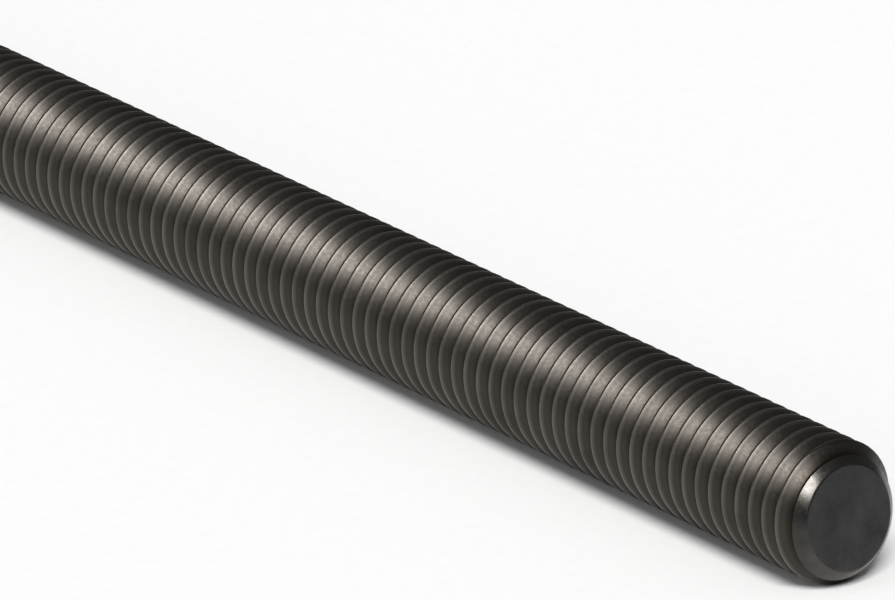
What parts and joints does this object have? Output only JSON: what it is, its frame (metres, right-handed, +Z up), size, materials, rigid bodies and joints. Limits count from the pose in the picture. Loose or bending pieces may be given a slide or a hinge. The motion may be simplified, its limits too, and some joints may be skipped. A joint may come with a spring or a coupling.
{
  "type": "threaded rod",
  "caption": "Straight steel rod with a right-hand thread along its whole length, chamfered ends and one end sawn out of square.",
  "frame": {"origin": "middle of the rod, on its axis", "axes": "+X along the rod's axis towards the sawn end, +Z up with the rod lying level"},
  "size_m": [0.3048, 0.0126, 0.0126],
  "materials": {
    "plain_steel": "satin"
  },
  "bodies": {
    "root": {"threaded_rod": "plain_steel"}
  },
  "joints": []
}
